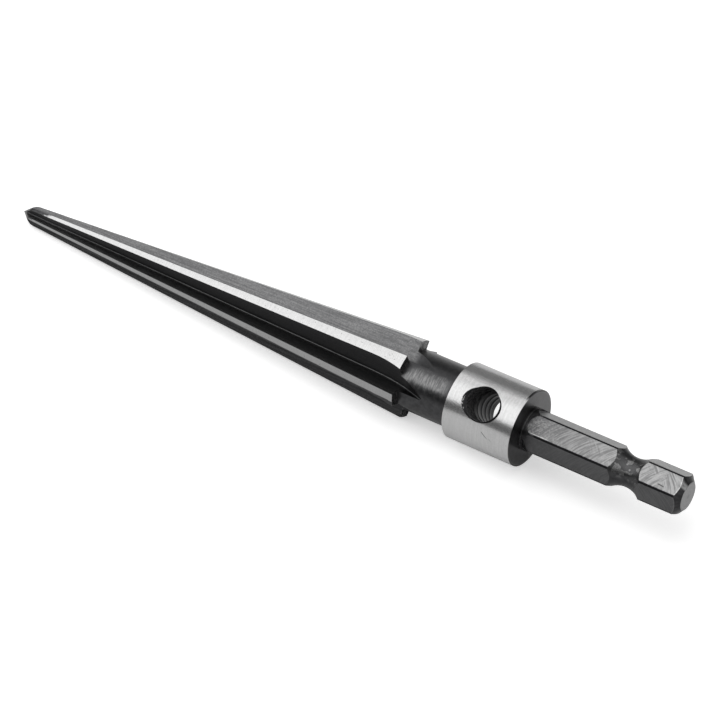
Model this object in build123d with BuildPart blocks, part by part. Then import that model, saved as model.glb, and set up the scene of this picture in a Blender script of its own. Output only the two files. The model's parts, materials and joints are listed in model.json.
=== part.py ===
from build123d import *
import os
from math import acos, asin, atan, atan2, cos, degrees, radians, sin, sqrt

# Tapered hand reamer, turned and milled from one steel bar: a point, six straight flutes on a
# cone, a plain neck, a collar with a cross hole for a bar, and a hexagon shank for a bit holder.
# Millimetres. It lies on a flat surface at Z = 0, with its axis rising from the point towards
# the shank. +X runs from the point to the shank, and the cross hole looks up and towards -Y.

# Lands, the narrow strips of the cone that are left between the flutes. They are ground a little
# hollow along their length, so the tool lies on both of their ends.
land_big_diameter = 13.2
land_small_diameter = 3.4
land_length = 79.4
land_hollow = 0.03
point_length = 2.2
point_round = 2.5

# Flutes, milled by a thin disc cutter that lifts out into the neck
flute_count = 6
flute_angle = 72.0
flute_root_big = 2.9
flute_root_small = 0.55
flute_root_round = 0.2
rake_offset = 0.5
cutter_radius = 28.0
cutter_lift = 5.6
cutter_exit = 0.3

# Neck and collar
neck_diameter = 10.3
neck_length = 9.4
collar_diameter = 12.9
collar_length = 12.3
collar_chamfer = 0.2

# Cross hole through the collar, drilled a little to one side of the axis and of the middle
hole_diameter = 5.65
hole_countersink = 0.65
hole_offset = 0.6
hole_shift = 0.25
hole_roll = 45.5

# Hexagon shank with a round root, a waisted groove and a chamfered end. Its flats begin a little
# past the collar, and their cutter reaches past the corners of the hexagon by the margin.
shank_sides = 6
shank_across_flats = 6.3
shank_corner_trim = 0.03
shank_length = 28.4
shank_root_fillet = 0.8
shank_roll = 30.0
flat_start = 0.75
flat_margin = 0.15
groove_width = 5.7
groove_depth = 1.15
groove_from_end = 7.0
end_chamfer = 1.05
end_face_diameter = 4.6

# Clearance of the cuts past the metal that they take away
overcut = 1.0

# Radii
land_big_radius = land_big_diameter / 2
land_small_radius = land_small_diameter / 2
land_middle_radius = (land_big_radius + land_small_radius) / 2 - land_hollow
neck_radius = neck_diameter / 2
collar_radius = collar_diameter / 2
hole_radius = hole_diameter / 2
shank_flat_radius = shank_across_flats / 2
shank_corner_radius = shank_flat_radius / cos(radians(180 / shank_sides)) - shank_corner_trim
flat_end_radius = sqrt(shank_corner_radius**2 - shank_flat_radius**2) + flat_margin
end_face_radius = end_face_diameter / 2

# Stations along the axis, from the point
land_start = point_length
land_end = land_start + land_length
collar_start = land_end + neck_length
collar_end = collar_start + collar_length
shank_end = collar_end + shank_length
groove_end = shank_end - groove_from_end
groove_start = groove_end - groove_width

# Root of the flutes: it follows the cone, then rises on the radius of the cutter
root_slope = atan((flute_root_big - flute_root_small) / land_length)
lift_start = land_end - cutter_lift
root_at_lift = flute_root_big - cutter_lift * (flute_root_big - flute_root_small) / land_length
root_rise = cutter_radius - sqrt(cutter_radius**2 - cutter_lift**2)
exit_height = neck_radius + cutter_exit - root_at_lift
cutter_sweep = degrees(acos(1 - exit_height / cutter_radius))


def edge_angle(radius):
    """Angle round the axis, from a rake plane to its cutting edge, at this land radius."""
    return degrees(asin(rake_offset / radius))


def back_angle(root, radius):
    """Angle round the axis, from a rake plane to the far edge of the flute above it."""
    slope = radians(flute_angle)
    half = root * cos(slope) + rake_offset * sin(slope)
    run = sqrt(half**2 + radius**2 - root**2 - rake_offset**2) - half
    return degrees(atan2(rake_offset + run * sin(slope), root + run * cos(slope)))


# Resting place: two neighbouring lands touch the surface, with one flute facing down
big_edge = edge_angle(land_big_radius)
big_back = back_angle(flute_root_big + root_rise, land_big_radius)
flute_roll = 180 + (big_edge + big_back) / 2
big_drop = land_big_radius * cos(radians((big_back - big_edge) / 2))
small_edge_roll = flute_roll - edge_angle(land_small_radius)
small_drop = land_small_radius * -cos(radians(small_edge_roll))
tilt = atan((big_drop - small_drop) / land_length)
axis_height = big_drop * cos(tilt) - land_end * sin(tilt)
axis_reach = shank_end * cos(tilt) + end_face_radius * sin(tilt)

# Directions: along the axis, square to it upwards, and sideways
point_place = Vector(-axis_reach / 2, 0, axis_height)
axis_way = Vector(cos(tilt), 0, sin(tilt))
up_way = Vector(-sin(tilt), 0, cos(tilt))
side_way = Vector(0, -1, 0)


def station(distance):
    """Point on the axis at this distance from the point of the tool."""
    return point_place + axis_way * distance


def radial(roll):
    """Direction square to the axis, turned by this angle from upwards."""
    return up_way * cos(radians(roll)) + side_way * sin(radians(roll))


def lengthwise(distance, roll):
    """Plane through the axis: x towards the shank, y outwards at this roll."""
    return Plane(station(distance), x_dir=axis_way, z_dir=axis_way.cross(radial(roll)))


def flute_plane(roll):
    """Plane across a flute where the cutter begins to lift: x outwards, z towards the point."""
    outwards = radial(roll)
    along_root = axis_way * cos(root_slope) + outwards * sin(root_slope)
    away_from_root = outwards * cos(root_slope) - axis_way * sin(root_slope)
    place = station(lift_start) + outwards * root_at_lift
    return Plane(place, x_dir=away_from_root, z_dir=-along_root)


def flat_plane(roll):
    """Plane of a flat of the shank, from its end at the collar: x along the tool, z outwards."""
    place = station(collar_end + flat_start) + radial(roll) * shank_flat_radius
    return Plane(place, x_dir=axis_way, z_dir=radial(roll))


def hole_plane(roll, offset):
    """Plane square to the cross hole, at the crown of the collar."""
    middle = station(collar_start + collar_length / 2 - hole_shift)
    sideways = radial(roll - 90)
    place = middle + sideways * offset + radial(roll) * collar_radius
    return Plane(place, x_dir=axis_way, z_dir=radial(roll))


# Reamer, one solid
with BuildPart() as reamer_body:

    # Turned blank
    with BuildSketch(lengthwise(0, 0)) as blank:
        with BuildLine():
            front = Polyline(
                (0, 0),
                (land_start, land_small_radius),
                (land_start + land_length / 2, land_middle_radius),
                (land_end, land_big_radius),
                (land_end, neck_radius),
                (collar_start, neck_radius),
                (collar_start, collar_radius),
                (collar_end, collar_radius),
                (collar_end, shank_corner_radius),
                (groove_start, shank_corner_radius),
            )
            waist = ThreePointArc(
                front @ 1,
                (groove_start + groove_width / 2, shank_corner_radius - groove_depth),
                (groove_end, shank_corner_radius),
            )
            Polyline(
                waist @ 1,
                (shank_end - end_chamfer, shank_corner_radius),
                (shank_end, end_face_radius),
                (shank_end, 0),
                (0, 0),
            )
        make_face()
        corners = blank.vertices()
        point_corner = corners.sort_by_distance((land_start, land_small_radius))[0]
        fillet(point_corner, point_round)
        shank_corner = corners.sort_by_distance((collar_end, shank_corner_radius))[0]
        fillet(shank_corner, shank_root_fillet)
        for distance in (collar_start, collar_end):
            collar_corner = corners.sort_by_distance((distance, collar_radius))[0]
            chamfer(collar_corner, collar_chamfer)
    revolve(axis=Axis(station(0), axis_way))

    # Flutes
    for index in range(flute_count):
        cutter_plane = flute_plane(flute_roll + index * 360 / flute_count)
        with BuildSketch(cutter_plane) as cutter:
            with BuildLine():
                rake = Line((0, rake_offset), (land_big_diameter, rake_offset))
                back = PolarLine((0, rake_offset), land_big_diameter, flute_angle)
                Line(rake @ 1, back @ 1)
            make_face()
            root_corner = cutter.vertices().sort_by_distance((0, rake_offset))[0]
            fillet(root_corner, flute_root_round)
        extrude(amount=lift_start + overcut, mode=Mode.SUBTRACT)
        cutter_axis = Axis(cutter_plane.from_local_coords((cutter_radius, 0)), -cutter_plane.y_dir)
        revolve(cutter.sketch, axis=cutter_axis, revolution_arc=cutter_sweep, mode=Mode.SUBTRACT)

    # Hexagon flats, each milled with a round end towards the collar
    for index in range(shank_sides):
        with BuildSketch(flat_plane(shank_roll + index * 360 / shank_sides)):
            with Locations((flat_end_radius, 0)):
                Circle(flat_end_radius)
                Rectangle(shank_length, 2 * flat_end_radius, align=(Align.MIN, Align.CENTER))
        extrude(amount=shank_flat_radius, mode=Mode.SUBTRACT)

    # Cross hole, countersunk on both sides
    with Locations(hole_plane(hole_roll, hole_offset), hole_plane(hole_roll + 180, -hole_offset)):
        CounterSinkHole(
            radius=hole_radius,
            counter_sink_radius=hole_radius + hole_countersink,
            depth=collar_radius,
            counter_sink_angle=90,
        )

reamer_body.part.label = "reamer_body"
os.makedirs("parts", exist_ok=True)
export_step(reamer_body.part, "parts/reamer_body.step")
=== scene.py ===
import json
from math import asin, cos, pi, radians, sin, tan
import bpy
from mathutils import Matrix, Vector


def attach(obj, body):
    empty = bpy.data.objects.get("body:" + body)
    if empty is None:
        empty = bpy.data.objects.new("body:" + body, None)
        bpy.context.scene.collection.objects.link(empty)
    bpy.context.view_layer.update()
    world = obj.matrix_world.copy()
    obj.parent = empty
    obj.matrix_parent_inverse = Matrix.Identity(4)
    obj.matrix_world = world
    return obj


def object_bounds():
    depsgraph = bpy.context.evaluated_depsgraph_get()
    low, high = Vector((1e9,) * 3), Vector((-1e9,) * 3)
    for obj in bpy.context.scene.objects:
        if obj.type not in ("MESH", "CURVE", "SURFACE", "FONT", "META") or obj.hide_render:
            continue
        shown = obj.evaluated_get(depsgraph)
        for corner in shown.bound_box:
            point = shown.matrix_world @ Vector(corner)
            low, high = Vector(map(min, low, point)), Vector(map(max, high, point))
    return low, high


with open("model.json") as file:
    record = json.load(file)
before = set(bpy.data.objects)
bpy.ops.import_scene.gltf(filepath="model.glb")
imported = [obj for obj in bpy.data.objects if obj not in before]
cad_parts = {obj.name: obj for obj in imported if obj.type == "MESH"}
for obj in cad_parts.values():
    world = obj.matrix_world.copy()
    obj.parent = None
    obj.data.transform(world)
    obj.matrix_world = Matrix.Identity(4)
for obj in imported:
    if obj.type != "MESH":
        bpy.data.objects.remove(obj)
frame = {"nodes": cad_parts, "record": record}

from types import SimpleNamespace

import bpy
from bpy.props import FloatProperty, FloatVectorProperty, IntProperty, PointerProperty
from mathutils import Vector

bl_info = {
    "name": "Tapered hand reamer",
    "version": (1, 0, 0),
    "blender": (4, 5, 0),
    "location": "3D View > Sidebar > Reamer",
    "description": "Gives a tapered hand reamer its steel finishes, its hole's thread and a studio",
    "category": "Object",
}

# The solid's box, its one body and its mounts, from the frame
SOLID_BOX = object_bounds()
BODY = "root"
REAMER_NODE = "reamer_body"
MOUNTS = {mount["name"]: mount for mount in frame["record"]["mounts"]}
HOLE_MIDDLE = Vector(MOUNTS["cross_hole"]["pos_m"])
HOLE_WAY = Vector(MOUNTS["cross_hole"]["axis"])
HOLE_RADIUS = MOUNTS["cross_hole"]["dims"]["r_mm"] / 1000

# The tool's own axis: it starts at the point, which is the lowest X of the solid
TOOL_WAY = Vector(MOUNTS["hex_shank"]["axis"])
SHANK_MIDDLE = Vector(MOUNTS["hex_shank"]["pos_m"])
POINT_PLACE = SHANK_MIDDLE - TOOL_WAY * ((SHANK_MIDDLE.x - SOLID_BOX[0].x) / TOOL_WAY.x)
TOOL_TILT = asin(TOOL_WAY.z)

# The shank's form repeats from one flat to the next
FLAT_TURN = 2 * pi / 6

# Materials measure the tool in millimetres
MILLIMETRE = 0.001


def setting(kind, **form):
    """Maker of one kind of setting, from its name, its description and its default."""

    def make(name, description, default):
        return kind(name=name, description=description, default=default, **form)

    return make


# Lengths and places in metres, shares from 0 to 1, glows where 1 is white, and colours
length = setting(FloatProperty, unit="LENGTH", precision=5)
place = setting(FloatVectorProperty, size=3, unit="LENGTH", precision=5)
share = setting(FloatProperty, min=0, max=1, subtype="FACTOR")
glow = setting(FloatProperty, min=0, subtype="FACTOR")
colour = setting(FloatVectorProperty, size=3, min=0, max=1, subtype="COLOR")


def angle(name, description, default):
    """Setting for an angle, given in degrees."""
    return FloatProperty(name=name, description=description, default=radians(default), subtype="ANGLE")


class ReamerSizes(bpy.types.PropertyGroup):
    """Sizes of the steel that its finishes follow, and of the thread in the cross hole."""

    land_start: length("Land start", "From the point to the start of the lands", 0.0022)
    land_end: length("Land end", "From the point to the end of the lands", 0.0816)
    land_small: length("Small radius", "Radius of the lands at the point", 0.0017)
    land_big: length("Big radius", "Radius of the lands at the neck", 0.0066)
    collar_start: length("Collar start", "From the point to the collar", 0.0910)
    collar_end: length("Collar end", "From the point to the collar's far face", 0.1033)
    collar_radius: length("Collar radius", "Outer radius of the collar", 0.00645)
    neck_radius: length("Neck radius", "Radius of the neck", 0.00515)
    root_small: length("Small root", "From the axis to a flute's root, at the point", 0.00055)
    root_big: length("Big root", "From the axis to a flute's root, at the end of the lands", 0.0029)
    rake_offset: length("Rake offset", "From the axis to the plane of a flute's rake face", 0.0005)
    lift_start: length("Lift start", "From the point to where the cutter begins to lift", 0.0760)
    cutter_radius: length("Cutter radius", "Radius of the cutter that milled the flutes", 0.028)
    flat_radius: length("Flat radius", "From the axis to a flat of the shank", 0.00315)
    shank_end: length("Shank end", "From the point to the end of the shank", 0.1317)
    corner_radius: length("Corner radius", "From the axis to a corner of the shank", 0.003607)
    groove_start: length("Groove start", "From the point to the groove of the shank", 0.1190)
    groove_end: length("Groove end", "From the point to the end of the groove", 0.1247)
    end_chamfer: length("End chamfer", "Length of the chamfer at the shank's end", 0.00105)
    end_radius: length("End radius", "Radius of the shank's end face", 0.0023)
    shank_roll: angle("Shank roll", "Turn of the shank's first flat from upwards", 30)
    mill_radius: length("Milling radius", "Radius of the curved milling marks on the flats", 0.0050)
    thread_pitch: length("Thread pitch", "Pitch of the thread in the cross hole", 0.00170)
    thread_height: length("Thread height", "Height of the thread's ridge over the wall", 0.00030)
    thread_foot: length("Thread foot", "Width of the ridge at the wall", 0.00130)
    thread_crest: length("Thread crest", "Width of the ridge at its crest", 0.00022)
    thread_sink: length("Thread sink", "How far the ridge's foot is sunk in the wall", 0.00006)
    thread_run: length("Thread run", "Length of the threaded stretch of the hole", 0.0098)
    thread_points: IntProperty(
        name="Thread points", description="Points in each turn of the thread", default=72, min=12
    )


class ReamerFinishes(bpy.types.PropertyGroup):
    """Colours and gloss of the steel."""

    # Ground and milled also serve as painted highlights and painted light, and deep black and hole black as
    # painted shade, where the coats say so
    flute: colour("Flute steel", "Blackened steel of the flutes", (0.210, 0.210, 0.212))
    black: colour("Black oxide", "Blackened steel of the neck and faces", (0.070, 0.070, 0.072))
    deep_black: colour("Deep black", "Blackened steel where the black is thickest", (0.030, 0.030, 0.031))
    hole_black: colour("Hole black", "Blackened steel inside the cross hole", (0.014, 0.014, 0.015))
    ground: colour("Ground steel", "Bright ground steel of the lands and collar", (0.55, 0.55, 0.55))
    milled: colour("Milled steel", "Milled flats of the shank", (0.24, 0.24, 0.24))
    black_gloss: share("Black roughness", "Roughness of the blackened steel", 0.30)
    ground_gloss: share("Ground roughness", "Roughness of the ground steel", 0.24)
    milled_gloss: share("Milled roughness", "Roughness of the milled flats", 0.38)
    dull_gloss: share("Dull roughness", "Roughness of the dull steel at the hole's mouth", 0.85)
    relief: length("Relief", "Depth of the grinding and milling marks", 0.000010)


class ReamerStudio(bpy.types.PropertyGroup):
    """The camera, lights and floor round the tool."""

    camera_place: place("Camera place", "Where the camera stands", (0.185839, -0.283401, 0.293928))
    camera_turn: FloatVectorProperty(
        name="Camera turn",
        description="Turn of the camera about X, Y and Z",
        default=(radians(49.2410), radians(-2.4732), radians(34.6615)),
        subtype="EULER",
    )
    camera_lens: FloatProperty(
        name="Camera lens", description="Focal length", default=136.4864, unit="CAMERA", precision=4
    )
    softbox_place: place("Softbox place", "Middle of the overhead light", (-0.17, -0.09, 0.36))
    softbox_width: length("Softbox width", "Width of the overhead light, along the tool", 0.62)
    softbox_depth: length("Softbox depth", "Depth of the overhead light, across the tool", 0.70)
    softbox_glow: glow("Softbox glow", "Brightness of the overhead light", 1.65)
    softbox_far_glow: glow("Softbox far glow", "Brightness of the overhead light behind the tool", 1.15)
    fill_glow: glow("Fill glow", "Brightness of the light that comes from all sides", 0.45)
    floor_width: length("Floor width", "Width of the floor", 3.0)
    floor_colour: colour("Floor colour", "Colour of the floor", (0.95, 0.95, 0.95))
    floor_lift: glow("Floor lift", "How much whiter the floor looks than it is lit", 0.44)
    near_card_glow: glow("Near card glow", "Brightness of the dark card before the tool", 0.12)
    near_card_low: angle("Near card foot", "Height of the near card's foot over the horizon", -1)
    near_card_high: angle("Near card top", "Height of the near card's top over the horizon", 29)
    far_card_glow: glow("Far card glow", "Brightness of the dark card behind the tool", 0.28)
    far_card_low: angle("Far card foot", "Height of the far card's foot over the horizon", 7)
    far_card_high: angle("Far card top", "Height of the far card's top over the horizon", 59)
    card_distance: length("Card distance", "From the tool to the dark cards", 0.45)
    card_length: length("Card length", "Length of the dark cards, along the tool", 3.0)


SETTING_GROUPS = {
    "reamer_sizes": ReamerSizes,
    "reamer_finishes": ReamerFinishes,
    "reamer_studio": ReamerStudio,
}


class NodeBench:
    """Adds nodes to a tree and joins them."""

    def __init__(self, tree):
        self.tree = tree
        self.tree.nodes.clear()

    def add(self, kind, inputs=None, **settings):
        """Adds a node, and gives each named or numbered input a value or a socket."""
        node = self.tree.nodes.new(kind)
        for name, value in settings.items():
            setattr(node, name, value)
        for name, value in (inputs or {}).items():
            self.feed(node.inputs[name], value)
        return node

    def feed(self, socket, value):
        """Joins a socket to this input, or sets its value."""
        if isinstance(value, bpy.types.NodeSocket):
            self.tree.links.new(value, socket)
        else:
            socket.default_value = value

    def math(self, operation, *values):
        """Result of a Math node."""
        return self.add("ShaderNodeMath", dict(enumerate(values)), operation=operation).outputs[0]

    def product(self, first, *others):
        """Product of several numbers."""
        for other in others:
            first = self.math("MULTIPLY", first, other)
        return first

    def total(self, first, *others):
        """Sum of several numbers."""
        for other in others:
            first = self.math("ADD", first, other)
        return first

    def difference(self, first, second):
        """First number less the second."""
        return self.math("SUBTRACT", first, second)

    def unsigned(self, value):
        """Number without its sign."""
        return self.math("ABSOLUTE", value)

    def hypotenuse(self, first, second):
        """Square root of the sum of two squares."""
        return self.math("SQRT", self.total(self.product(first, first), self.product(second, second)))

    def vector(self, x, y, z):
        """Vector of three numbers."""
        return self.add("ShaderNodeCombineXYZ", {0: x, 1: y, 2: z}).outputs[0]

    def parts(self, vector):
        """The X, Y and Z of a vector."""
        return self.add("ShaderNodeSeparateXYZ", {0: vector}).outputs

    def vector_math(self, operation, *vectors):
        """Result of a Vector Math node: a number from a length or a dot product, else a vector."""
        node = self.add("ShaderNodeVectorMath", dict(enumerate(vectors)), operation=operation)
        return node.outputs["Value" if operation in ("LENGTH", "DOT_PRODUCT") else "Vector"]

    def line(self, value, low, high, low_result, high_result, **settings):
        """Straight line through two points, carried on past both unless settings say otherwise."""
        inputs = dict(enumerate((value, low, high, low_result, high_result)))
        return self.add("ShaderNodeMapRange", inputs, **(settings or {"clamp": False})).outputs[0]

    def step(self, value, low, high, low_result=0.0, high_result=1.0):
        """Smooth step from one result to the other, as the value goes from low to high."""
        return self.line(value, low, high, low_result, high_result, interpolation_type="SMOOTHSTEP")

    def within(self, value, low, high, soft):
        """1 between low and high, and 0 outside, with soft edges."""
        return self.product(
            self.step(value, low - soft, low + soft), self.step(value, high + soft, high - soft)
        )

    def within_degrees(self, angle, low, high, soft):
        """1 where an angle is between low and high degrees, and 0 outside, with soft edges."""
        return self.within(angle, radians(low), radians(high), radians(soft))

    def noise(self, vector, scale, detail=3.0):
        """Noise from 0 to 1."""
        inputs = {"Vector": vector, "Scale": scale, "Detail": detail, "Roughness": 0.6}
        return self.add("ShaderNodeTexNoise", inputs).outputs[0]

    def blend(self, factor, first, second):
        """Number between the first and the second."""
        return self.add("ShaderNodeMix", {0: factor, 2: first, 3: second}, data_type="FLOAT").outputs[0]

    def tint(self, factor, first, second):
        """Colour between the first and the second."""
        return self.add("ShaderNodeMix", {0: factor, 6: first, 7: second}, data_type="RGBA").outputs[2]

    def paint(self, colour, coats):
        """Colour under these coats, each of them a colour and what its cover is the product of."""
        for coat, *cover in coats:
            colour = self.tint(self.product(*cover), colour, coat)
        return colour


def opaque(rgb):
    """Colour with an alpha of 1."""
    return (*rgb, 1.0)


def new_material(name):
    """Empty node material, and the bench to fill it."""
    material = bpy.data.materials.new(name)
    material.use_nodes = True
    return material, NodeBench(material.node_tree)


def in_millimetres(group):
    """Lengths of a group of settings, in millimetres."""
    return SimpleNamespace(**{
        name: getattr(group, name) / MILLIMETRE
        for name, settings in group.bl_rna.properties.items()
        if settings.type == "FLOAT" and settings.unit == "LENGTH"
    })


def tones_of(group):
    """Colours of a group of settings, each with an alpha of 1."""
    return SimpleNamespace(**{
        name: opaque(getattr(group, name))
        for name, settings in group.bl_rna.properties.items()
        if settings.subtype == "COLOR"
    })


def finish_metal(bench, base, gloss, relief, depth):
    """Closes a material as bare metal with this colour, gloss and relief."""
    bump = bench.add("ShaderNodeBump", {"Strength": 1.0, "Distance": depth, "Height": relief})
    inputs = {"Base Color": base, "Roughness": gloss, "Metallic": 1.0, "Normal": bump.outputs[0]}
    shader = bench.add("ShaderNodeBsdfPrincipled", inputs)
    bench.add("ShaderNodeOutputMaterial", {"Surface": shader.outputs[0]})


class ToolPlace:
    """Where a point of the steel lies on the tool, in millimetres and radians, as sockets."""

    def __init__(self, bench):
        self.bench = bench
        self.vector = self.in_tool_frame("Object", POINT_PLACE, MILLIMETRE)
        self.along, self.side, self.up = bench.parts(self.vector)
        self.radius = bench.hypotenuse(self.side, self.up)
        self.roll = bench.math("ARCTAN2", bench.product(self.side, -1.0), self.up)

        # How far the surface faces away from the axis, and how far it faces upwards, from -1 to 1
        _, facing_side, self.facing_up = bench.parts(self.in_tool_frame("Normal", (0, 0, 0), 1))
        reach = bench.total(bench.product(facing_side, self.side), bench.product(self.facing_up, self.up))
        self.outward = bench.math("DIVIDE", reach, self.radius)

    def in_tool_frame(self, output, start, unit):
        """Texture coordinate measured from this start, in this unit, along and across the tool."""
        source = self.bench.add("ShaderNodeTexCoord").outputs[output]
        inputs = {"Vector": source, "Location": start, "Rotation": (0, -TOOL_TILT, 0), "Scale": (unit,) * 3}
        return self.bench.add("ShaderNodeMapping", inputs, vector_type="TEXTURE").outputs[0]

    def lines(self, along, across):
        """Noise drawn out into lines: its grain per millimetre along the tool and across it."""
        stretched = self.bench.vector_math("MULTIPLY", self.vector, (along, across, across))
        return self.bench.noise(stretched, 1.0, 4.0)

    def underside(self, low, high):
        """0 on top and 1 below, as the roll to either side passes from low to high degrees."""
        return self.bench.step(self.bench.unsigned(self.roll), radians(low), radians(high))

    def scuff(self, radius, along, roll, run, width, lean):
        """Mask of a short scuff at this radius. Its roll and its lean off the axis are in degrees."""
        bench = self.bench
        sine, cosine = sin(radians(lean)), cos(radians(lean))
        offset = bench.difference(self.along, along)
        arc = bench.product(bench.difference(self.roll, radians(roll)), radius)
        lengthwise = bench.total(bench.product(offset, cosine), bench.product(arc, sine))
        crosswise = bench.total(bench.product(arc, cosine), bench.product(offset, -sine))
        ends = bench.step(bench.unsigned(lengthwise), run / 2, run / 3)
        sides = bench.step(bench.unsigned(crosswise), width / 2, 0.0)
        return bench.product(ends, sides)


class FlatPlace:
    """Where a point lies on the shank's nearest flat, in millimetres, as sockets."""

    def __init__(self, spot, shank_roll):
        bench = spot.bench

        # The roll, made positive and folded onto one flat
        turn = bench.total(spot.roll, FLAT_TURN / 2 + 2 * pi - shank_roll)
        folded = bench.difference(bench.math("MODULO", turn, FLAT_TURN), FLAT_TURN / 2)
        self.number = bench.math("FLOOR", bench.math("DIVIDE", turn, FLAT_TURN))
        self.height = bench.product(spot.radius, bench.math("COSINE", folded))
        self.across = bench.product(spot.radius, bench.math("SINE", folded))


class HolePlace:
    """Where a point of the steel lies in the cross hole, in millimetres, as sockets."""

    def __init__(self, bench):
        self.bench = bench
        world = bench.add("ShaderNodeTexCoord").outputs["Object"]
        offset = bench.vector_math("SUBTRACT", world, HOLE_MIDDLE)
        off_axis = bench.vector_math("CROSS_PRODUCT", offset, HOLE_WAY)
        height = bench.vector_math("DOT_PRODUCT", offset, HOLE_WAY)
        across = bench.vector_math("DOT_PRODUCT", offset, HOLE_WAY.cross(TOOL_WAY))

        # From the hole's axis, from its middle towards its mouth, and across the tool
        self.distance = bench.product(bench.vector_math("LENGTH", off_axis), 1 / MILLIMETRE)
        self.height = bench.product(height, 1 / MILLIMETRE)
        self.across = bench.product(across, 1 / MILLIMETRE)

    def dull_and_shaded(self, mottle):
        """1 at the hole's mouth and on its upper side, where the steel is dull and the thread gets painted
        shade, and 0 further in.
        """
        bench = self.bench
        spread = bench.total(self.height, bench.product(self.across, 0.8), bench.product(mottle, 1.5))
        return bench.step(spread, 0.3, 3.9)


class ToolSteel:
    """The tool's steel: where each kind of it lies, and the coats of colour on it."""

    def __init__(self, bench, sizes, finishes):
        self.bench = bench
        self.tone = tones_of(finishes)
        self.size = in_millimetres(sizes)
        self.spot = spot = ToolPlace(bench)
        self.flat = FlatPlace(spot, sizes.shank_roll)
        self.hole = HolePlace(bench)
        self.past_collar = bench.difference(spot.along, self.size.collar_end)

        # Grain: rings round the tool, streaks along it, blotches and specks
        self.rings = spot.lines(5.0, 0.25)
        self.short_rings = spot.lines(5.0, 0.8)
        self.fine_rings = spot.lines(14.0, 0.4)
        self.streaks = spot.lines(0.07, 4.0)
        self.mottle = bench.noise(spot.vector, 1.2, 4.0)
        self.specks = bench.noise(spot.vector, 7.0, 3.0)
        self.blots = bench.noise(spot.vector, 3.0, 2.0)

        # Round surfaces face away from the axis, and cut ones lean away from that
        self.round_face = bench.step(spot.outward, 0.86, 0.93)
        self.cut_face = bench.step(spot.outward, 0.93, 0.86)

        self.find_lands()
        self.find_collar()
        self.find_flats()
        self.marks = self.milling_marks()

        # Flutes, without their run-outs on the neck
        flute_end = bench.step(spot.along, self.size.land_end + 1.2, self.size.land_end - 0.3)
        self.in_flute = bench.product(flute_end, self.cut_face)

        # Wall of the cross hole, and the dull part of it
        wall = HOLE_RADIUS / MILLIMETRE
        self.in_hole = bench.step(self.hole.distance, wall + 0.08, wall + 0.03)
        self.dull_wall = bench.product(self.in_hole, self.hole.dull_and_shaded(self.mottle))

    def find_lands(self):
        """Mask of the lands: the cone's own surface, from a ragged line behind the point."""
        bench, spot, size = self.bench, self.spot, self.size
        cone = bench.line(spot.along, size.land_start, size.land_end, size.land_small, size.land_big)
        slant = bench.math("SINE", bench.difference(spot.roll, radians(45)))
        ragged = bench.total(
            spot.along,
            bench.product(self.mottle, 3.0),
            bench.product(self.specks, 2.0),
            bench.product(slant, 3.4),
        )

        # The near side's land shines in a narrower strip, because its edges get painted shade
        near_side = bench.within_degrees(spot.roll, 62, 115, 4)
        strip_middle = 0.42
        strip_half = bench.line(spot.along, size.land_start, size.land_end, 0.27, 0.83)
        from_middle = bench.unsigned(bench.difference(spot.up, strip_middle))
        strip = bench.step(bench.difference(strip_half, from_middle), 0.07, 0.15)
        self.on_land = bench.product(
            self.round_face,
            bench.step(bench.difference(spot.radius, cone), -0.5, -0.3),
            bench.step(ragged, 6.4, 7.6),
            bench.step(spot.along, size.land_end + 0.1, size.land_end),
            bench.blend(near_side, 1.0, strip),
        )

    def find_collar(self):
        """Masks of the ground steel, lands and collar together, and of the collar's scratches."""
        bench, spot, size = self.bench, self.spot, self.size
        on_collar = bench.product(
            self.round_face,
            bench.step(spot.along, size.collar_start - 1, size.collar_start),
            bench.step(spot.radius, size.collar_radius - 0.4, size.collar_radius - 0.3),
        )
        self.bright = bench.math("MAXIMUM", self.on_land, on_collar)
        long_one = spot.scuff(size.collar_radius, along=98.8, roll=82, run=1.7, width=0.24, lean=38)
        short_one = spot.scuff(size.collar_radius, along=99.9, roll=86, run=0.7, width=0.22, lean=38)
        self.scratches = bench.total(long_one, bench.product(short_one, 0.5))

    def find_flats(self):
        """Masks of the shank's flats, of its corners, of its end and of its worn edges."""
        bench, spot, size = self.bench, self.spot, self.size
        corner = size.flat_radius * tan(FLAT_TURN / 2)
        uneven = bench.product(self.blots, 0.12)
        near_corner = bench.total(bench.unsigned(self.flat.across), uneven)
        self.off_flat = bench.unsigned(bench.difference(self.flat.height, size.flat_radius))
        end_edge = size.shank_end - 0.05
        level = bench.product(
            bench.step(self.past_collar, 0.6, 0.7),
            bench.step(spot.along, end_edge, end_edge - 0.02),
            bench.step(self.off_flat, 0.05, 0.02),
        )
        self.on_flat = bench.product(level, bench.step(near_corner, corner - 0.13, corner - 0.20))
        self.on_corner = bench.product(
            level,
            bench.step(near_corner, corner - 0.20, corner - 0.13),
            bench.step(self.past_collar, 2.2, 2.8),
        )
        self.on_end = bench.step(spot.along, end_edge, end_edge + 0.02)

        # How far a point lies past the start of the end's chamfer, along the tool
        chamfer_run = size.end_chamfer / (size.corner_radius - size.end_radius)
        chamfer_start = size.shank_end - size.end_chamfer + chamfer_run * size.corner_radius
        self.past_chamfer = bench.total(spot.along, bench.product(spot.radius, chamfer_run), -chamfer_start)

        # Edges that wore bright: at the chamfer, and along a corner near the shank's root
        root_edge = bench.product(
            bench.within(near_corner, corner - 0.30, corner - 0.20, 0.03),
            bench.within(self.past_collar, 1.8, 4.8, 0.8),
            bench.within_degrees(spot.roll, 35, 65, 4),
        )
        self.worn_edge = bench.math("MAXIMUM", bench.step(self.past_chamfer, -0.16, -0.08), root_edge)

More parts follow.
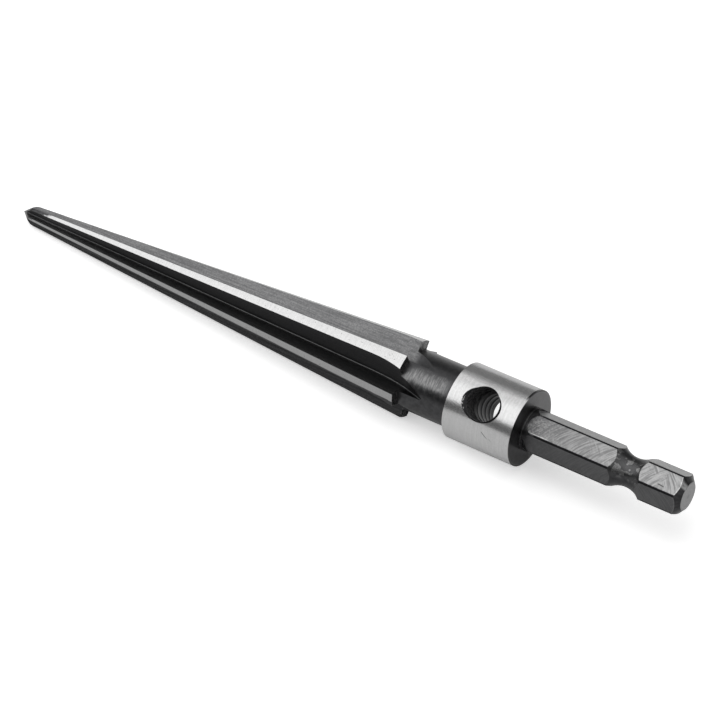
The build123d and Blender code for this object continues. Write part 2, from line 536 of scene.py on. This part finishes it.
    def milling_marks(self):
        """Arcs across each flat, in two passes of the cutter that cross."""
        bench, spot, flat = self.bench, self.spot, self.flat
        marks_per_mm = 3.0
        breaks_per_mm = 0.4
        lean = 0.8
        next_flat_shift = 7.3
        bow_squared = bench.total(self.size.mill_radius ** 2, bench.product(flat.across, flat.across, -1.0))
        bow = bench.math("SQRT", bow_squared)
        passes = []
        for way in (1.0, -1.0):
            phase = bench.total(spot.along, bench.product(bow, way), bench.product(flat.across, lean * way))
            arcs = bench.vector(
                bench.product(phase, marks_per_mm),
                bench.product(flat.across, breaks_per_mm),
                bench.product(flat.number, next_flat_shift * way),
            )
            passes.append(bench.noise(arcs, 1.0, 3.0))
        second_pass = bench.total(
            bench.noise(spot.vector, 0.3), bench.step(self.past_collar, 16.0, 20.0, 0.0, 0.14)
        )
        return bench.blend(bench.step(second_pass, 0.50, 0.72), *passes)

    def neck_coats(self):
        """Neck: painted shade on top, painted light on the far side, and a painted highlight in a stripe of
        brushing marks.
        """
        bench, spot, size, tone = self.bench, self.spot, self.size, self.tone
        on_neck = bench.product(
            self.round_face,
            bench.within(spot.along, size.land_end - 1, size.collar_start, 0.5),
            bench.step(spot.radius, size.neck_radius + 0.1, size.neck_radius + 0.05),
        )
        uneven = bench.total(spot.roll, bench.product(bench.difference(self.mottle, 0.5), 0.5))
        run_outs = bench.within(spot.along, size.land_end + 1.4, size.collar_start - 2, 0.8)

        # The stripe, brushing marks with a painted highlight on them, begins on a slant behind the lands,
        # and fades before the collar
        slanted = bench.total(spot.along, bench.product(uneven, 3.2))
        brushed_highlight = bench.product(
            on_neck,
            bench.step(spot.along, size.collar_start - 0.2, size.collar_start - 2.4),
            bench.within_degrees(uneven, 30, 52, 11),
            bench.step(slanted, size.land_end + 2.6, size.land_end + 3.6),
            bench.step(self.short_rings, 0.38, 0.62, 0.35, 1.0),
        )
        return [
            # Painted shade on the neck's top, and painted light on its far side
            (tone.deep_black, on_neck, bench.within_degrees(uneven, -9, 23, 7), 0.55),
            (tone.milled, on_neck, bench.within_degrees(spot.roll, -40, -4, 9), 0.38),
            (tone.deep_black, self.cut_face, run_outs, 0.6),
            (tone.milled, brushed_highlight, 0.85),
        ]

    def end_face_coats(self):
        """Collar's end face: painted light towards the far side, and painted highlights in rings at its rim
        and its root.
        """
        bench, spot, size, tone = self.bench, self.spot, self.size, self.tone
        on_face = bench.product(
            bench.step(self.past_collar, -0.06, -0.03),
            bench.step(self.past_collar, 1.0, 0.6),
            bench.step(spot.outward, 0.9, 0.5),
        )
        # Painted light, stronger towards the far side
        light = bench.line(spot.roll, radians(-45), radians(14), 0.35, 0.10, clamp=True)
        # Painted highlights in a ring near the rim and in a ring at the face's root
        rim_highlight = bench.product(
            bench.within(spot.radius, size.collar_radius - 0.36, size.collar_radius - 0.22, 0.04),
            bench.step(self.past_collar, -0.1, -0.05),
            0.35,
        )
        root_highlight = bench.product(
            bench.within(self.past_collar, 0.32, 0.55, 0.06), bench.step(self.blots, 0.3, 0.6, 0.2, 0.55)
        )
        return [(tone.milled, on_face, light), (tone.milled, bench.total(rim_highlight, root_highlight))]

    def groove_coats(self):
        """Groove of the shank: blacker, with painted glints on its near side."""
        bench, spot, size, tone = self.bench, self.spot, self.size, self.tone
        edge = 0.05
        in_groove = bench.within(spot.along, size.groove_start + edge, size.groove_end - edge, 0.25)
        painted_glints = bench.product(
            bench.step(bench.noise(spot.vector, 1.1, 1.0), 0.52, 0.60, 0.15, 1.0),
            bench.within_degrees(spot.roll, -10, 75, 15),
            bench.step(self.specks, 0.35, 0.6, 0.4, 0.9),
        )
        return [(tone.deep_black, in_groove, 0.4), (tone.milled, in_groove, painted_glints)]

    def chamfer_coats(self):
        """Chamfer at the shank's end: black, with one painted highlight."""
        bench, tone = self.bench, self.tone
        painted_highlight = bench.within_degrees(self.spot.roll, 8, 28, 6)
        on_chamfer = bench.product(
            bench.step(self.past_chamfer, -0.03, 0.0), bench.step(self.off_flat, 0.02, 0.08)
        )
        return [(tone.deep_black, on_chamfer, 0.8), (tone.ground, on_chamfer, painted_highlight, 0.95)]

    def land_step_coats(self):
        """Step at the end of the lands: black, with light burrs."""
        bench, spot, size, tone = self.bench, self.spot, self.size, self.tone
        on_step = bench.product(
            bench.within(spot.along, size.land_end - 0.02, size.land_end + 0.02, 0.01),
            bench.step(spot.radius, size.neck_radius - 1.0, size.neck_radius),
        )
        burrs = bench.step(self.blots, 0.48, 0.58, 0.0, 0.9)
        return [(tone.deep_black, on_step, 0.6), (tone.milled, on_step, burrs)]

    def collar_rim_shade(self):
        """Chamfer of the collar's end: painted shade on top and on the far side."""
        bench, rim = self.bench, self.size.collar_radius
        return (
            self.tone.hole_black,
            bench.within(self.past_collar, -0.34, 0.01, 0.02),
            bench.step(self.spot.radius, rim - 0.27, rim - 0.23),
            bench.within_degrees(self.spot.roll, -42, 6, 6),
            0.9,
        )

    def hole_coats(self):
        """Cross hole and its countersink: black, with light chips at the rim and a dull mouth."""
        bench, tone = self.bench, self.tone
        from_wall = bench.total(self.hole.distance, -HOLE_RADIUS / MILLIMETRE)
        in_sink = bench.product(
            bench.step(from_wall, 0.70, 0.60), self.cut_face, bench.step(from_wall, 0.0, 0.05)
        )
        chips = bench.product(
            bench.within(from_wall, 0.35, 0.75, 0.05),
            bench.step(self.blots, 0.5, 0.62),
            bench.step(self.specks, 0.45, 0.6),
        )
        return [
            (tone.hole_black, in_sink, 0.75),
            (tone.ground, chips),
            (tone.hole_black, self.in_hole),
            (tone.flute, self.dull_wall, bench.step(self.blots, 0.38, 0.62, 0.1, 0.6)),
        ]

    def blackened(self):
        """Colour of the blackened steel of the neck, the collar's faces and the shank."""
        coats = [
            (self.tone.deep_black, self.bench.step(self.mottle, 0.3, 0.7, 0.0, 0.6)),
            *self.neck_coats(),
            *self.end_face_coats(),
            *self.groove_coats(),
            *self.chamfer_coats(),
        ]
        return self.bench.paint(self.tone.black, coats)

    def fluted(self):
        """Colour of the flutes: streaked and spotted, with painted shade at their roots, on faces turned
        downwards and below, and a painted light band over one range of roll.
        """
        bench, spot, size, tone = self.bench, self.spot, self.size, self.tone

        # The root follows the cone, and rises where the cutter lifts
        lift = bench.math("MAXIMUM", bench.difference(spot.along, size.lift_start), 0.0)
        root = bench.total(
            bench.line(spot.along, size.land_start, size.land_end, size.root_small, size.root_big),
            bench.product(lift, lift, 0.5 / size.cutter_radius),
        )
        over_root = bench.difference(spot.radius, bench.hypotenuse(root, size.rake_offset))
        # Painted shade at the roots, and on faces turned downwards
        root_shade = bench.step(over_root, 0.40, 0.28)
        downward_shade = bench.step(spot.facing_up, 0.0, -0.08)

        # Both painted shades darken over the first third of the flutes
        dark_start = 5.0
        dark_full = 24.0
        coats = [
            (tone.black, bench.step(self.streaks, 0.35, 0.65, 0.55, 0.0)),
            (tone.black, bench.step(self.blots, 0.38, 0.62, 0.38, 0.0)),
            (tone.black, bench.step(self.specks, 0.42, 0.6, 0.38, 0.0)),
            # Painted light in a band of roll
            (tone.ground, bench.within_degrees(spot.roll, 50, 92, 3), 0.15),
            (tone.black, bench.step(spot.along, 7.0, 3.0), 0.35),
            (tone.deep_black, downward_shade, bench.step(spot.along, dark_start, dark_full, 0.5, 0.95)),
            (tone.deep_black, root_shade, bench.step(spot.along, dark_start, dark_full, 0.25, 0.64)),
            # Painted shade below
            (tone.deep_black, spot.underside(94, 102), 0.85),
        ]
        return bench.paint(tone.flute, coats)

    def milled(self):
        """Colour of the flats: marked by the cutter, lighter towards the shank's end, with painted light
        above and painted shade below.
        """
        bench, spot, tone = self.bench, self.spot, self.tone
        scratch = spot.scuff(self.size.flat_radius, along=128.1, roll=46.8, run=1.3, width=0.30, lean=5)
        root_blots = bench.product(
            bench.step(self.blots, 0.6, 0.42, 0.0, 0.6), bench.step(self.past_collar, 9.0, 1.0, 0.15, 1.0)
        )
        coats = [
            (tone.ground, bench.step(self.past_collar, 3.0, 22.0, 0.0, 0.35)),
            (tone.black, bench.step(self.marks, 0.4, 0.62, 0.0, 0.55)),
            (tone.black, root_blots),
            # Painted light on the upper flats
            (tone.ground, bench.within_degrees(spot.roll, -60, 0, 3), 0.4),
            (tone.ground, self.worn_edge, bench.step(self.blots, 0.35, 0.55, 0.3, 0.9)),
            (tone.deep_black, scratch, 0.9),
            # Painted shade on the lower flats
            (tone.black, spot.underside(59, 61), 0.85),
        ]
        return bench.paint(tone.milled, coats)

    def shank_end(self):
        """Colour of the shank's end face: turned rings, darker in the middle."""
        bench, tone, radius = self.bench, self.tone, self.spot.radius
        rings = bench.noise(bench.vector(bench.product(radius, 3.0), 0.0, 0.0), 1.0, 2.0)
        coats = [
            (tone.ground, bench.step(rings, 0.4, 0.6, 0.0, 0.2)),
            (tone.black, bench.step(radius, 0.8, 0.2, 0.0, 0.35)),
        ]
        return bench.paint(tone.milled, coats)

    def ground(self):
        """Colour of the ground lands and collar: faint rings, scratches, pits in the lands, and painted
        shade on the lands below.
        """
        bench, spot, tone = self.bench, self.spot, self.tone
        pits = bench.step(bench.noise(spot.vector, 3.6, 1.0), 0.68, 0.74, 0.0, 0.55)
        coats = [
            (tone.milled, bench.step(self.rings, 0.35, 0.65, 0.0, 0.14)),
            (tone.milled, bench.step(self.blots, 0.38, 0.62, 0.10, 0.0)),
            (tone.black, bench.math("MINIMUM", bench.product(self.scratches, 0.8), 1.0)),
            # Painted shade on the lands below
            (tone.milled, self.on_land, spot.underside(55, 75), 0.62),
            (tone.black, self.on_land, pits),
        ]
        return bench.paint(tone.ground, coats)

    def colour(self):
        """Colour of the whole tool: blackened steel, and over it each other kind in its place."""
        coats = [
            (self.fluted(), self.in_flute),
            *self.land_step_coats(),
            (self.tone.hole_black, self.on_corner),
            (self.milled(), self.on_flat),
            (self.shank_end(), self.on_end, self.bench.step(self.specks, 0.3, 0.6, 0.8, 1.0)),
            (self.ground(), self.bright),
            self.collar_rim_shade(),
            *self.hole_coats(),
        ]
        return self.bench.paint(self.blackened(), coats)

    def gloss(self, finishes):
        """Roughness of the whole tool, with specks in it."""
        bench = self.bench
        gloss = bench.blend(self.on_flat, finishes.black_gloss, finishes.milled_gloss)
        gloss = bench.blend(self.bright, gloss, finishes.ground_gloss)
        gloss = bench.total(gloss, bench.line(self.specks, 0.0, 1.0, -0.05, 0.05))
        return bench.blend(self.dull_wall, gloss, finishes.dull_gloss)

    def relief(self):
        """Relief: rings on turned and ground steel, streaks in the flutes, arcs on the flats."""
        bench = self.bench
        return bench.total(
            bench.product(self.fine_rings, bench.blend(self.in_flute, 0.7, 0.0)),
            bench.product(self.streaks, self.in_flute, 3.0),
            bench.product(self.marks, self.on_flat, 4.0),
            bench.product(self.specks, 0.5),
            bench.product(self.scratches, -2.0),
        )


def tool_steel(sizes, finishes):
    """Steel of the whole tool: black, with ground lands and collar and milled flats."""
    material, bench = new_material("tool_steel")
    steel = ToolSteel(bench, sizes, finishes)
    finish_metal(bench, steel.colour(), steel.gloss(finishes), steel.relief(), finishes.relief)
    return material


def thread_steel(sizes, finishes):
    """Black steel of the thread, worn bright along its crest, dull at the hole's mouth, and with painted
    shade there and on the hole's upper side.
    """
    material, bench = new_material("thread_steel")
    tone = tones_of(finishes)
    spot = ToolPlace(bench)
    hole = HolePlace(bench)
    mottle = bench.noise(spot.vector, 2.2, 4.0)
    specks = bench.noise(spot.vector, 9.0, 3.0)
    dull = hole.dull_and_shaded(mottle)

    # How far a point lies outside the crest, from the hole's axis, and uneven by the specks
    crest = (HOLE_RADIUS - sizes.thread_height) / MILLIMETRE
    uneven = 0.12
    depth = bench.total(hole.distance, bench.product(specks, -uneven), uneven / 2 - crest)
    # The crest's wear fades where the hole is dull, a painted shade
    worn = bench.product(
        bench.step(depth, 0.08, 0.02),
        bench.step(mottle, 0.35, 0.65, 0.2, 0.9),
        bench.line(dull, 0.0, 1.0, 1.0, 0.1),
    )
    dull_blots = bench.step(mottle, 0.38, 0.62, 0.1, 0.6)
    base = bench.paint(tone.hole_black, [(tone.flute, worn), (tone.flute, dull, dull_blots)])
    gloss = bench.line(specks, 0.0, 1.0, finishes.black_gloss - 0.1, finishes.black_gloss + 0.1)
    gloss = bench.blend(dull, gloss, finishes.dull_gloss)
    finish_metal(bench, base, gloss, bench.total(specks, bench.product(mottle, 4.0)), finishes.relief)
    return material


def thread_tree(material):
    """Geometry Nodes tree of a thread in a round hole: a ridge along a helix, sunk in the wall."""
    tree = bpy.data.node_groups.new("hole_thread", "GeometryNodeTree")
    sockets = {
        "Float": ("Wall Radius", "Pitch", "Run", "Height", "Foot", "Crest", "Sink"),
        "Int": ("Points",),
        "Vector": ("Way", "Middle"),
    }
    for kind, names in sockets.items():
        for name in names:
            tree.interface.new_socket(name, in_out="INPUT", socket_type="NodeSocket" + kind)
    tree.interface.new_socket("Geometry", in_out="OUTPUT", socket_type="NodeSocketGeometry")
    bench = NodeBench(tree)
    given = bench.add("NodeGroupInput").outputs

    # Helix at the wall, over the whole run
    helix = bench.add(
        "GeometryNodeCurveSpiral",
        {
            "Resolution": given["Points"],
            "Rotations": bench.math("DIVIDE", given["Run"], given["Pitch"]),
            "Start Radius": given["Wall Radius"],
            "End Radius": given["Wall Radius"],
            "Height": given["Run"],
        },
    )
    upright = bench.add("GeometryNodeSetCurveNormal", {"Curve": helix.outputs[0]}, mode="Z_UP")

    # Section of the ridge: its foot in the wall, its rounded crest towards the hole's axis
    inwards = bench.product(given["Height"], -1.0)
    corners = (
        (given["Sink"], bench.product(given["Foot"], -0.5)),
        (given["Sink"], bench.product(given["Foot"], 0.5)),
        (inwards, bench.product(given["Crest"], 0.5)),
        (inwards, bench.product(given["Crest"], -0.5)),
    )
    section = bench.add("GeometryNodeCurvePrimitiveQuadrilateral", mode="POINTS")
    for number, (outwards, along) in enumerate(corners, start=1):
        bench.feed(section.inputs["Point %d" % number], bench.vector(outwards, along, 0.0))
    rounded = bench.add(
        "GeometryNodeFilletCurve",
        {"Curve": section.outputs[0], "Radius": bench.product(given["Crest"], 0.4), "Count": 3},
        mode="POLY",
    )

    # The ridge grows at both ends, over a third of a turn
    part = bench.add("GeometryNodeSplineParameter").outputs["Factor"]
    to_end = bench.math("MINIMUM", part, bench.difference(1.0, part))
    third = bench.math("DIVIDE", bench.math("DIVIDE", given["Pitch"], 3.0), given["Run"])
    growth = bench.line(to_end, 0.0, third, 0.05, 1.0, clamp=True)
    curves = {"Curve": upright.outputs[0], "Profile Curve": rounded.outputs[0]}
    ridge = bench.add("GeometryNodeCurveToMesh", {**curves, "Scale": growth, "Fill Caps": True})

    # Into the hole
    turned = bench.add("FunctionNodeAlignRotationToVector", {"Vector": given["Way"]}, axis="Z")
    half_run = {0: given["Way"], "Scale": bench.product(given["Run"], -0.5)}
    half_back = bench.add("ShaderNodeVectorMath", half_run, operation="SCALE").outputs[0]
    start = bench.vector_math("ADD", given["Middle"], half_back)
    placed = bench.add(
        "GeometryNodeTransform",
        {"Geometry": ridge.outputs[0], "Translation": start, "Rotation": turned.outputs[0]},
    )
    real = bench.add("GeometryNodeRealizeInstances", {"Geometry": placed.outputs[0]})
    steel = bench.add("GeometryNodeSetMaterial", {"Geometry": real.outputs[0], "Material": material})
    bench.add("NodeGroupOutput", {"Geometry": steel.outputs[0]})
    return tree


def in_scene(name, data):
    """New object of the scene, for a mesh or a camera."""
    piece = bpy.data.objects.new(name, data)
    bpy.context.scene.collection.objects.link(piece)
    return piece


def grow(name, tree, values):
    """Plain mesh object that a Geometry Nodes tree makes from these inputs."""
    grower = in_scene(name + "_grower", bpy.data.meshes.new(name + "_seed"))
    modifier = grower.modifiers.new("nodes", "NODES")
    modifier.node_group = tree
    for socket in tree.interface.items_tree:
        if socket.in_out == "INPUT":
            modifier[socket.identifier] = values[socket.name]
    depsgraph = bpy.context.evaluated_depsgraph_get()
    mesh = bpy.data.meshes.new_from_object(grower.evaluated_get(depsgraph), depsgraph=depsgraph)
    grower.modifiers.clear()
    bpy.data.objects.remove(grower)
    mesh.name = name
    return in_scene(name, mesh)


def card(name, corners, shade):
    """Flat stage piece with these corners and this material."""
    mesh = bpy.data.meshes.new(name)
    mesh.from_pydata(corners, [], [range(len(corners))])
    mesh.materials.append(shade)
    piece = in_scene(name, mesh)
    return piece


def seen_as_white(bench):
    """1 where the camera sees a point, straight or in the steel, and 0 where the point gives light."""
    rays = bench.add("ShaderNodeLightPath").outputs
    white = bench.math("MAXIMUM", rays["Is Camera Ray"], rays["Is Glossy Ray"])
    return bench.math("MAXIMUM", white, rays["Is Transmission Ray"])


def finish_light(bench, strength):
    """Closes a material as a light of this strength."""
    light = bench.add("ShaderNodeEmission", {"Strength": strength})
    bench.add("ShaderNodeOutputMaterial", {"Surface": light.outputs[0]})


class REAMER_OT_steel(bpy.types.Operator):
    """Give the reamer its black, ground and milled steel"""

    bl_idname = "reamer.steel"
    bl_label = "Finish the steel"

    def execute(self, context):
        node = frame["nodes"][REAMER_NODE]
        steel = tool_steel(context.scene.reamer_sizes, context.scene.reamer_finishes)
        node.data.materials.clear()
        node.data.materials.append(steel)
        return {"FINISHED"}


class REAMER_OT_thread(bpy.types.Operator):
    """Add the thread inside the cross hole"""

    bl_idname = "reamer.thread"
    bl_label = "Cut the hole's thread"

    def execute(self, context):
        sizes = context.scene.reamer_sizes
        own_sizes = ("Pitch", "Run", "Height", "Foot", "Crest", "Sink", "Points")
        values = {name: getattr(sizes, "thread_" + name.lower()) for name in own_sizes}
        values |= {"Wall Radius": HOLE_RADIUS, "Way": HOLE_WAY, "Middle": HOLE_MIDDLE}
        tree = thread_tree(thread_steel(sizes, context.scene.reamer_finishes))
        thread = grow("cross_hole_thread", tree, values)
        if not thread.data.polygons:
            raise RuntimeError("The thread's nodes made no faces")
        thread.data.shade_smooth()
        sharp_edge = radians(40)
        thread.data.set_sharp_from_angle(angle=sharp_edge)
        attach(thread, BODY)
        return {"FINISHED"}


class REAMER_OT_studio(bpy.types.Operator):
    """Set up the camera, lights, cards and floor"""

    bl_idname = "reamer.studio"
    bl_label = "Set up the studio"

    def execute(self, context):
        studio = context.scene.reamer_studio
        self.add_camera(context.scene, studio)
        self.add_floor(studio)
        self.add_softbox(studio)
        self.add_cards(studio)
        self.add_sky(context.scene, studio)
        context.scene.view_settings.view_transform = "Standard"
        return {"FINISHED"}

    def add_camera(self, scene, studio):
        """Camera that sees the tool as the photo does."""
        data = bpy.data.cameras.new("camera")
        data.lens = studio.camera_lens
        data.clip_start = 0.01
        camera = in_scene("camera", data)
        camera.location = studio.camera_place
        camera.rotation_euler = studio.camera_turn
        scene.camera = camera

    def add_floor(self, studio):
        """Pale floor under the tool."""
        half = studio.floor_width / 2
        low = SOLID_BOX[0].z
        corners = [(x * half, y * half, low) for x, y in ((-1, -1), (1, -1), (1, 1), (-1, 1))]
        shade, bench = new_material("floor")
        matt = bench.add("ShaderNodeBsdfDiffuse", {"Color": opaque(studio.floor_colour)})
        camera_ray = bench.add("ShaderNodeLightPath").outputs["Is Camera Ray"]
        lift = bench.add("ShaderNodeEmission", {"Strength": bench.product(camera_ray, studio.floor_lift)})
        both = bench.add("ShaderNodeAddShader", {0: matt.outputs[0], 1: lift.outputs[0]})
        bench.add("ShaderNodeOutputMaterial", {"Surface": both.outputs[0]})
        card("floor", corners, shade)

    def add_softbox(self, studio):
        """Big soft light overhead, facing the tool."""
        middle = Vector(studio.softbox_place)
        turn = middle.to_track_quat("Z", "Y")
        half_width = studio.softbox_width / 2
        half_depth = studio.softbox_depth / 2
        corners = [
            middle + turn @ Vector((x * half_width, y * half_depth, 0))
            for x, y in ((-1, 1), (1, 1), (1, -1), (-1, -1))
        ]

        # It glows less where it hangs behind the tool, apart from its end beyond the point
        shade, bench = new_material("softbox")
        spot = bench.parts(bench.add("ShaderNodeTexCoord").outputs["Object"])
        behind_tool = bench.step(spot["Y"], -0.10, 0.06)
        beside_tool = bench.step(spot["X"], -0.30, -0.20)
        far = bench.product(behind_tool, beside_tool)
        finish_light(bench, bench.blend(far, studio.softbox_glow, studio.softbox_far_glow))
        card("softbox", corners, shade).visible_camera = False

    def add_cards(self, studio):
        """Dark cards before and behind the tool, which only its mirroring steel sees."""
        reach = studio.card_length / 2
        distance = studio.card_distance
        spans = {
            "near_card": (-1, studio.near_card_low, studio.near_card_high, studio.near_card_glow),
            "far_card": (1, studio.far_card_low, studio.far_card_high, studio.far_card_glow),
        }
        for name, (way, low, high, strength) in spans.items():
            shade, bench = new_material(name)
            finish_light(bench, strength)
            foot, top = [(way * distance * cos(height), distance * sin(height)) for height in (low, high)]
            corners = [(-reach, *foot), (reach, *foot), (reach, *top), (-reach, *top)]
            piece = card(name, corners, shade)
            piece.visible_camera = False
            piece.visible_diffuse = False
            piece.visible_shadow = False

    def add_sky(self, scene, studio):
        """White surroundings, dimmer where they light the floor."""
        world = bpy.data.worlds.new("surroundings")
        world.use_nodes = True
        bench = NodeBench(world.node_tree)
        strength = bench.blend(seen_as_white(bench), studio.fill_glow, 1.0)
        sky = bench.add("ShaderNodeBackground", {"Color": (1, 1, 1, 1), "Strength": strength})
        bench.add("ShaderNodeOutputWorld", {"Surface": sky.outputs[0]})
        scene.world = world


OPERATORS = (REAMER_OT_steel, REAMER_OT_thread, REAMER_OT_studio)


class REAMER_PT_panel(bpy.types.Panel):
    """Lists the reamer's steps and settings in the sidebar"""

    bl_idname = "REAMER_PT_panel"
    bl_label = "Tapered hand reamer"
    bl_space_type = "VIEW_3D"
    bl_region_type = "UI"
    bl_category = "Reamer"

    def draw(self, context):
        for operator in OPERATORS:
            self.layout.operator(operator.bl_idname)
        for group, settings in SETTING_GROUPS.items():
            box = self.layout.box()
            for name in settings.__annotations__:
                box.prop(getattr(context.scene, group), name)


CLASSES = (*SETTING_GROUPS.values(), *OPERATORS, REAMER_PT_panel)


def register():
    for item in CLASSES:
        bpy.utils.register_class(item)
    for name, group in SETTING_GROUPS.items():
        setattr(bpy.types.Scene, name, PointerProperty(type=group))


def unregister():
    for name in SETTING_GROUPS:
        delattr(bpy.types.Scene, name)
    for item in reversed(CLASSES):
        bpy.utils.unregister_class(item)


def main():
    """Registers the add-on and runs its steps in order."""
    register()
    bpy.ops.reamer.steel()
    bpy.ops.reamer.thread()
    bpy.ops.reamer.studio()


if __name__ == "__main__":
    main()
